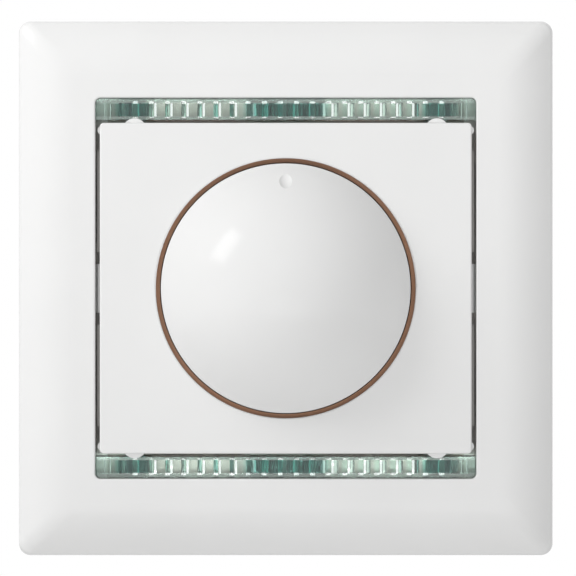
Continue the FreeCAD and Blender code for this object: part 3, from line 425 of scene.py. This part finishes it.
painted_shade_tint = place(tree, "Mix", {"data_type": "RGBA"},
              {0: pocketed.outputs[0], 6: grey_green, 7: zones.outputs["Color"]})
tree.links.new(painted_shade_tint.outputs[2], shader.inputs["Base Color"])
shader.inputs["Transmission Weight"].default_value = 1.0
shader.inputs["IOR"].default_value = 1.57
rim_gloss = place(tree, "Math", {"operation": "SUBTRACT"}, {0: 1.0, 1: pocketed.outputs[0]})
tree.links.new(rim_gloss.outputs[0], shader.inputs["Coat Weight"])
shader.inputs["Coat Roughness"].default_value = 0.2
shader.inputs["Coat IOR"].default_value = 1.85
tint = place(tree, "VolumeAbsorption", sockets={"Color": (0.2, 0.84, 0.7, 1), "Density": 40.0})
tree.links.new(tint.outputs["Volume"], tree.nodes["Material Output"].inputs["Volume"])


def rounded_corner(x, z, half, radius, fade):
    """Square rings round each corner's centre become circles of the same reach.

    Past the radius the pull towards a circle fades out evenly, and at fade times the radius it is gone.
    """
    u = (np.abs(x) - half + radius) / radius
    v = (np.abs(z) - half + radius) / radius
    reach = np.maximum(u, v)
    corner = (u > 0) & (v > 0)
    pull = np.where(corner, reach / np.maximum(np.hypot(u, v), 1e-9), 1.0)
    pull = 1 + (pull - 1) * np.clip((fade - reach) / (fade - 1), 0, 1)
    return (np.where(corner, np.sign(x) * (half - radius + radius * u * pull), x),
            np.where(corner, np.sign(z) * (half - radius + radius * v * pull), z))


def ridge(at, middle, width):
    """Height of a right-angled ridge: half its width along its middle line, nothing at its two feet."""
    return np.clip(width / 2 - np.abs(at - middle), 0, None)


def shell_faces(kept):
    """Quads of a closed shell over the kept cells of a grid: front, back, and a wall along each border."""
    i, j = np.nonzero(kept)
    rows = kept.shape[1] + 1
    back = (kept.shape[0] + 1) * rows

    def corner(along, up):
        return (i + along) * rows + j + up

    front = np.stack([corner(0, 0), corner(1, 0), corner(1, 1), corner(0, 1)], 1)
    quads = [front, front[:, ::-1] + back]
    framed = np.pad(kept, 1)
    for along, up, first, second in ((-1, 0, (0, 0), (0, 1)), (1, 0, (1, 1), (1, 0)),
                                     (0, -1, (1, 0), (0, 0)), (0, 1, (0, 1), (1, 1))):
        open_side = ~framed[i + 1 + along, j + 1 + up]
        start, end = corner(*first)[open_side], corner(*second)[open_side]
        quads.append(np.stack([start, end, end + back, start + back], 1))
    return np.concatenate(quads)


insert_low, insert_high = np.array(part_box("light_insert")) * 1000
insert_face, foot_back, ring_half = insert_low[1], insert_high[1], insert_high[0]
bar_half, bar_inner, rail_inner = ring_half - 1.5, ring_half - 4.8, ring_half - 1.3
ring_face, insert_back, pocket_floor = insert_face + 2.9, insert_face + 4.4, insert_face + 1.2
pocket_low, pocket_high, end_pocket = bar_inner + 0.6, bar_half - 0.6, 2.2
rib_half, rib_pitch, rib_count, rib_shift = 0.35, 2.44, 20, 0.4
rib_middles = rib_shift + (np.arange(rib_count) - (rib_count - 1) / 2) * rib_pitch
lit_from, lit_to = 6, 21
glint_middle, glint_width, slant_start, slant_end = 0.6, 0.36, 0.8, 1.45
tooth, slant_left = (rib_pitch - 2 * rib_half) / 3, 0.6
spark_half, spark_floor = 0.38, insert_face + 0.7
spark_places, spark_widths = (bar_inner + 0.45, bar_half - 0.58), (0.16, 0.4)
sparks = tuple(zip(spark_places, spark_widths))
bar_edge, bar_corner, bar_fade, ring_fade = 0.2, 0.8, 1.375, 1.1
end_grooves, groove_width = bar_half - np.array([2.1, 1.2]), 0.14
foot_low, foot_high = ring_half - 1.2, ring_half - 0.1

# The lines of the grid stand where the form bends. A steep wall has two lines close together.
wall = np.array([-0.003, 0.003])
crest = np.array([-0.5, 0, 0.5])
edge_steps, corner_steps, line_digits = 5, 7, 4
bends = bar_edge * (1 - np.cos(np.linspace(0, np.pi / 2, edge_steps)))
rounding = np.linspace(-bar_corner, 0, corner_steps)
lit = (np.abs(rib_middles) > lit_from) & (np.abs(rib_middles) < lit_to)
rib_lines = np.concatenate([wall - rib_half, wall + rib_half, wall - spark_half, wall + spark_half])
lit_lines = np.concatenate([[slant_left - rib_half, slant_start], slant_end + wall,
                            glint_middle + glint_width * crest])
dark_lines = np.concatenate([rib_half + tooth + wall, rib_half + 2 * tooth + wall,
                             [slant_left - rib_half]])
dark_starts = np.append(rib_middles[~lit], rib_middles[0] - rib_pitch)
pocket_ends = np.array([rib_middles[0] - rib_half - end_pocket, rib_middles[-1] + rib_half + end_pocket])
groove_lines = np.add.outer(end_grooves, groove_width * crest).ravel()
outer_lines = np.concatenate([bar_half + rounding, bar_half - bends, [bar_half + wall[1], rail_inner],
                              foot_low + wall, foot_high + wall, ring_half + rounding])
bar_lines = np.concatenate([bar_inner + bends, pocket_low + wall, pocket_high + wall, spark_places,
                            *(spark + side * width / 2 + wall
                              for spark, width in sparks for side in (-1, 1))])
x_lines = np.concatenate([np.add.outer(rib_middles, rib_lines).ravel(),
                          np.add.outer(rib_middles[lit], lit_lines).ravel(),
                          np.add.outer(dark_starts, dark_lines).ravel(),
                          np.add.outer(pocket_ends, wall).ravel(),
                          groove_lines, -groove_lines, outer_lines, -outer_lines])
z_lines = np.concatenate([outer_lines, -outer_lines, bar_lines, -bar_lines])
x_lines, z_lines = (np.unique(np.round(lines, line_digits)) for lines in (x_lines, z_lines))
x, z = np.meshgrid(x_lines, z_lines, indexing="ij")

# The front is level on the bars, with a quarter round along their edges, and lies deeper on the ring.
height = np.abs(z)
inset = np.minimum(np.minimum(bar_half - np.abs(x), bar_half - height), height - bar_inner)
drop = bar_edge - np.clip(inset, 0, bar_edge)
edge_slack = 1e-4
on_bar = inset > -edge_slack
front = np.where(on_bar, insert_face + bar_edge - np.sqrt(bar_edge ** 2 - drop ** 2), ring_face)

# The back is level, and steps in to a pocket floor between two ribs. Lit pockets have a ridge and a
# slant on their floor, and dark ones have teeth. Sparks are notches at the ends of the ribs, grooves
# run across the ends of the bars, and a foot stands out at each corner.
steps = (x - rib_middles[0]) / rib_pitch
offset = (steps - np.clip(np.round(steps), 0, rib_count - 1)) * rib_pitch
past_rib = (steps - np.floor(steps)) * rib_pitch
lit_here = np.append(lit, False)[np.clip(np.floor(steps), -1, rib_count - 1).astype(int)]
lit_rib = lit[np.clip(np.round(steps), 0, rib_count - 1).astype(int)]
left = x < 0
rib_back = np.where((lit_rib & left) | (np.abs(x) < lit_from),
                    np.clip(slant_left - rib_half - offset, 0, None), 0)
slant = np.where((past_rib > slant_start) & (past_rib < slant_end) & ~left, past_rib - slant_start, 0)
saw = np.mod(np.where(left, rib_pitch - past_rib, past_rib) - rib_half, tooth)
relief = np.where(lit_here, ridge(past_rib, glint_middle, glint_width) + slant, saw)
pocket_rows = (height > pocket_low) & (height < pocket_high)
between = (x > pocket_ends[0]) & (x < pocket_ends[1]) & pocket_rows
on_rib = np.abs(offset) < rib_half
back = np.where(between, np.where(on_rib, insert_back - rib_back, pocket_floor + relief), insert_back)
for spark, width in sparks:
    here = (np.abs(offset) < spark_half) & (np.abs(height - spark) < width / 2)
    back = np.where(here, spark_floor + ridge(height, spark, width), back)
for groove in end_grooves:
    cut = ridge(np.abs(x), groove, groove_width)
    back = np.where((cut > 0) & pocket_rows, back - cut, back)
on_foot = (np.abs(x) > foot_low) & (np.abs(x) < foot_high) & (height > foot_low) & (height < foot_high)
back = np.where(on_foot, foot_back, back)

x, z = rounded_corner(x, z, bar_half, bar_corner, bar_fade)
x, z = rounded_corner(x, z, ring_half, bar_corner, ring_fade)
points = np.concatenate([np.stack([x, side, z], -1).reshape(-1, 3) for side in (front, back)])
x_cells, z_cells = (x_lines[1:] + x_lines[:-1]) / 2, (z_lines[1:] + z_lines[:-1]) / 2
kept = (np.abs(x_cells)[:, None] > rail_inner) | (np.abs(z_cells) > bar_inner)
ribbed_insert = surface_piece("ribbed_insert", points, shell_faces(kept))
ribbed_insert.data.materials.append(clear_green)
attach(ribbed_insert, "housing")
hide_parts("light_insert")

# Cover frame, centre plate and knob: white thermoplastic with a satin gloss. The knob has a greyer copy of
# the white, painted shade that keeps its lit upper left from going white, and it is shaded as a true
# sphere at the top of its dome.
# The frame snaps to the support plate, the plate to the front cover, and a leaf of spring steel holds the
# knob on the spindle.

white = moulded_plastic("white_moulding", light=(0.885, 0.885, 0.88), dark=(0.865, 0.865, 0.86),
                        gloss=0.16, spread=0.06, cloud=60.0, grain=2200.0, depth=0.000003)
dress(white, "cover_frame", "centre_plate")
# Painted shade: the knob's white is a greyer copy of the frame's white, to hold down the light on its
# upper left.
knob_shaded_white = moulded_plastic("knob_shaded_white", light=(0.85, 0.85, 0.845), dark=(0.83, 0.83, 0.825),
                             gloss=0.14, spread=0.05, cloud=60.0, grain=2200.0, depth=0.000003)
dome_apex, dome_radius, apex_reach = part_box("knob")[0][1], 0.023, 0.0015
tree, shader = nodes_of(knob_shaded_white)
spot = place(tree, "TexCoord").outputs["Object"]
out_of_dome = place(tree, "VectorMath", {"operation": "SUBTRACT"},
                    {0: spot, 1: (0, dome_apex + dome_radius, 0)})
dome_normal = place(tree, "VectorTransform",
                    {"vector_type": "NORMAL", "convert_from": "OBJECT", "convert_to": "WORLD"},
                    {0: out_of_dome.outputs[0]})
unit_normal = place(tree, "VectorMath", {"operation": "NORMALIZE"}, {0: dome_normal.outputs[0]})
off_apex = place(tree, "VectorMath", {"operation": "DISTANCE"}, {0: spot, 1: (0, dome_apex, 0)})
by_apex = place(tree, "Math", {"operation": "LESS_THAN"}, {0: off_apex.outputs["Value"], 1: apex_reach})
smoothed = place(tree, "Mix", {"data_type": "VECTOR"},
                 {0: by_apex.outputs[0], 4: place(tree, "NewGeometry").outputs["Normal"],
                  5: unit_normal.outputs[0]})
tree.links.new(smoothed.outputs[1], shader.inputs["Normal"].links[0].from_node.inputs["Normal"])
dress(knob_shaded_white, "knob")
dress(spring_steel, "knob_leaf")

# Studio: a pale floor below the switch in a white room, with a softbox at the upper left
# that makes the highlight on the knob. Three panels light the left, the front and the back,
# and show in no reflection.

floor_drop, floor_half = 0.06, 0.25
floor_level = cad_box[0][2] - floor_drop
floor_mesh = bpy.data.meshes.new("floor")
floor_mesh.from_pydata([(-floor_half, -floor_half, floor_level), (floor_half, -floor_half, floor_level),
                        (floor_half, floor_half, floor_level), (-floor_half, floor_half, floor_level)],
                       [], [(0, 1, 2, 3)])
floor = bpy.data.objects.new("floor", floor_mesh)
bpy.context.scene.collection.objects.link(floor)
floor_white = moulded_plastic("floor_white", light=(0.7, 0.7, 0.7), dark=(0.67, 0.67, 0.67),
                              gloss=0.7, spread=0.1, cloud=12.0)
floor.data.materials.append(floor_white)


def softbox(name, place_at, wide, high, power, roll=0.0, mirrored=True):
    """A flat lamp at one place, turned to face the middle of the switch and rolled about that line."""
    lamp = bpy.data.lights.new(name, "AREA")
    lamp.shape = "RECTANGLE"
    lamp.size = wide
    lamp.size_y = high
    lamp.energy = power
    box = bpy.data.objects.new(name, lamp)
    box.location = place_at
    facing = (-Vector(place_at)).to_track_quat("-Z", "Y")
    box.rotation_euler = (facing @ Quaternion((0, 0, 1), math.radians(roll))).to_euler()
    box.visible_glossy = mirrored
    bpy.context.scene.collection.objects.link(box)


softbox("key_softbox", (-0.3415, -0.2725, 0.2435), wide=0.2, high=0.11, power=0.18, roll=69)
softbox("side_panel", (-0.393, -0.225, 0.393), wide=0.6, high=0.22, power=1.7, roll=70, mirrored=False)
softbox("front_fill", (0.0, -0.556, -0.225), wide=0.35, high=0.35, power=2.05, mirrored=False)
softbox("back_panel", (0.5, 0.7, 0.5), wide=0.6, high=0.6, power=6.0, mirrored=False)

room_light = 0.4
world = bpy.data.worlds.new("white_room")
world.use_nodes = True
tree = world.node_tree
ray = place(tree, "LightPath").outputs
seen = place(tree, "Math", {"operation": "MAXIMUM"}, {0: ray["Is Camera Ray"], 1: ray["Is Glossy Ray"]})
seen = place(tree, "Math", {"operation": "MAXIMUM"}, {0: seen.outputs[0], 1: ray["Is Transmission Ray"]})
strength = place(tree, "MapRange",
                 sockets={"Value": seen.outputs[0], "To Min": room_light, "To Max": 1.0})
tree.nodes["Background"].inputs["Color"].default_value = (1, 1, 1, 1)
tree.links.new(strength.outputs["Result"], tree.nodes["Background"].inputs["Strength"])
bpy.context.scene.world = world

# Camera: far in front of the switch with a long lens, level with its middle.
# The colours reach the picture as they are written.

camera_side, camera_distance, camera_rise = 0.00034, 0.8, 0.00004
camera_data = bpy.data.cameras.new("camera")
camera_data.sensor_width = 36.0
camera_data.lens = 326.9
camera = bpy.data.objects.new("camera", camera_data)
camera.location = (camera_side, -camera_distance, camera_rise)
camera.rotation_euler = (math.pi / 2, 0, 0)
bpy.context.scene.collection.objects.link(camera)
bpy.context.scene.camera = camera
bpy.context.scene.view_settings.view_transform = "Standard"
